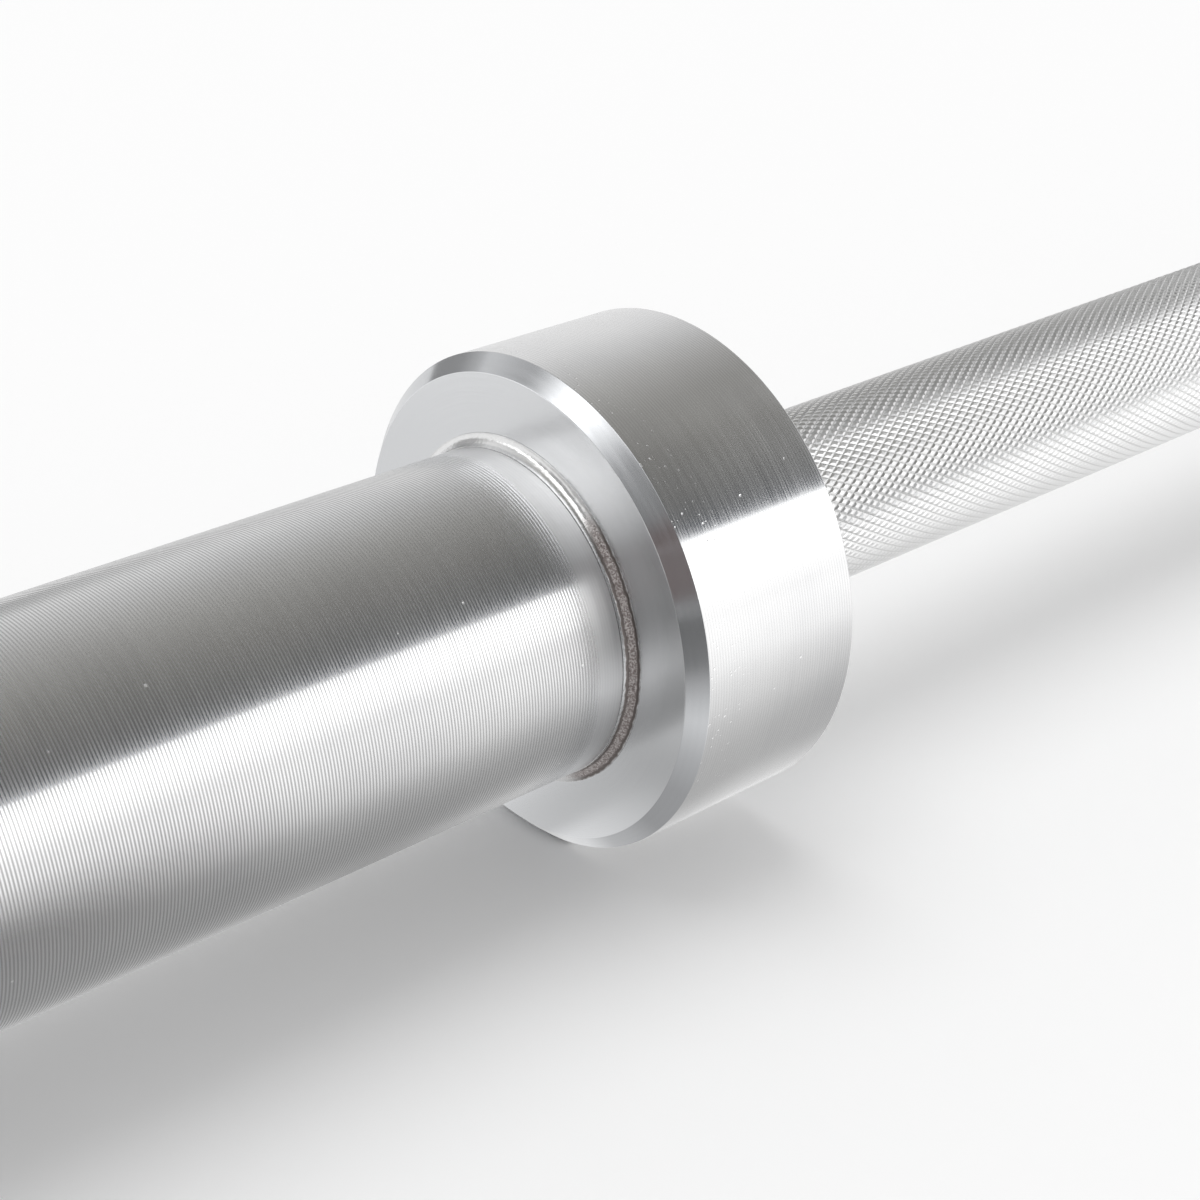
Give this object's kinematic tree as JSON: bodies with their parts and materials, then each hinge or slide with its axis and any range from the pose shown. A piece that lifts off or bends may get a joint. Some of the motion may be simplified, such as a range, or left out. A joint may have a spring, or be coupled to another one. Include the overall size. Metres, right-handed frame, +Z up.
{
  "type": "olympic barbell",
  "caption": "Straight olympic barbell: knurled steel shaft with freely turning chromed sleeves that carry weight plates against wide collars.",
  "frame": {"origin": "the middle of the bar, on its axis", "axes": "+X along the bar to the right-hand sleeve, +Z up, +Y away from the side that the picture is taken from"},
  "size_m": [2.2, 0.076, 0.076],
  "materials": {
    "satin_chrome": "satin",
    "knurled_chrome": "satin",
    "plated_weld": "satin",
    "bearing_steel": "satin",
    "polished_steel": "polished",
    "spring_steel": "satin",
    "bronze": "satin",
    "black_rubber": "matte"
  },
  "bodies": {
    "shaft": {"shaft": "knurled_chrome", "left_inner_thrust_washer": "bronze", "left_shaft_washer": "bearing_steel", "left_shaft_snap_ring": "spring_steel", "right_inner_thrust_washer": "bronze", "right_shaft_washer": "bearing_steel", "right_shaft_snap_ring": "spring_steel"},
    "left_sleeve": {"left_sleeve_tube": "satin_chrome", "left_collar": "satin_chrome", "left_weld_bead": "plated_weld", "left_dust_seal": "black_rubber", "left_inner_bearing_cup": "bearing_steel", "left_inner_bushing": "bronze", "left_outer_bearing_cup": "bearing_steel", "left_outer_bushing": "bronze", "left_outer_thrust_washer": "bronze", "left_end_cap": "satin_chrome", "left_end_cap_oring": "black_rubber", "left_end_cap_snap_ring": "spring_steel"},
    "left_inner_bearing_rollers": {"left_inner_bearing_cage": "bearing_steel", "left_inner_bearing_needles": "polished_steel"},
    "left_outer_bearing_rollers": {"left_outer_bearing_cage": "bearing_steel", "left_outer_bearing_needles": "polished_steel"},
    "right_sleeve": {"right_sleeve_tube": "satin_chrome", "right_collar": "satin_chrome", "right_weld_bead": "plated_weld", "right_dust_seal": "black_rubber", "right_inner_bearing_cup": "bearing_steel", "right_inner_bushing": "bronze", "right_outer_bearing_cup": "bearing_steel", "right_outer_bushing": "bronze", "right_outer_thrust_washer": "bronze", "right_end_cap": "satin_chrome", "right_end_cap_oring": "black_rubber", "right_end_cap_snap_ring": "spring_steel"},
    "right_inner_bearing_rollers": {"right_inner_bearing_cage": "bearing_steel", "right_inner_bearing_needles": "polished_steel"},
    "right_outer_bearing_rollers": {"right_outer_bearing_cage": "bearing_steel", "right_outer_bearing_needles": "polished_steel"}
  },
  "joints": [
    {"name": "left_sleeve_spin", "type": "hinge", "parent": "shaft", "child": "left_sleeve", "pos_m": [-0.876, 0, 0], "axis": [1, 0, 0], "continuous": true},
    {"name": "left_inner_bearing_roll", "type": "hinge", "parent": "shaft", "child": "left_inner_bearing_rollers", "pos_m": [-0.677, 0, 0], "axis": [1, 0, 0], "continuous": true},
    {"name": "left_outer_bearing_roll", "type": "hinge", "parent": "shaft", "child": "left_outer_bearing_rollers", "pos_m": [-1.03, 0, 0], "axis": [1, 0, 0], "continuous": true},
    {"name": "right_sleeve_spin", "type": "hinge", "parent": "shaft", "child": "right_sleeve", "pos_m": [0.876, 0, 0], "axis": [1, 0, 0], "continuous": true},
    {"name": "right_inner_bearing_roll", "type": "hinge", "parent": "shaft", "child": "right_inner_bearing_rollers", "pos_m": [0.677, 0, 0], "axis": [1, 0, 0], "continuous": true},
    {"name": "right_outer_bearing_roll", "type": "hinge", "parent": "shaft", "child": "right_outer_bearing_rollers", "pos_m": [1.03, 0, 0], "axis": [1, 0, 0], "continuous": true}
  ],
  "couplings": [
    {"joint": "left_inner_bearing_roll", "follows": "left_sleeve_spin", "ratio": 0.54612},
    {"joint": "left_outer_bearing_roll", "follows": "left_sleeve_spin", "ratio": 0.54612},
    {"joint": "right_inner_bearing_roll", "follows": "right_sleeve_spin", "ratio": 0.54612},
    {"joint": "right_outer_bearing_roll", "follows": "right_sleeve_spin", "ratio": 0.54612}
  ]
}
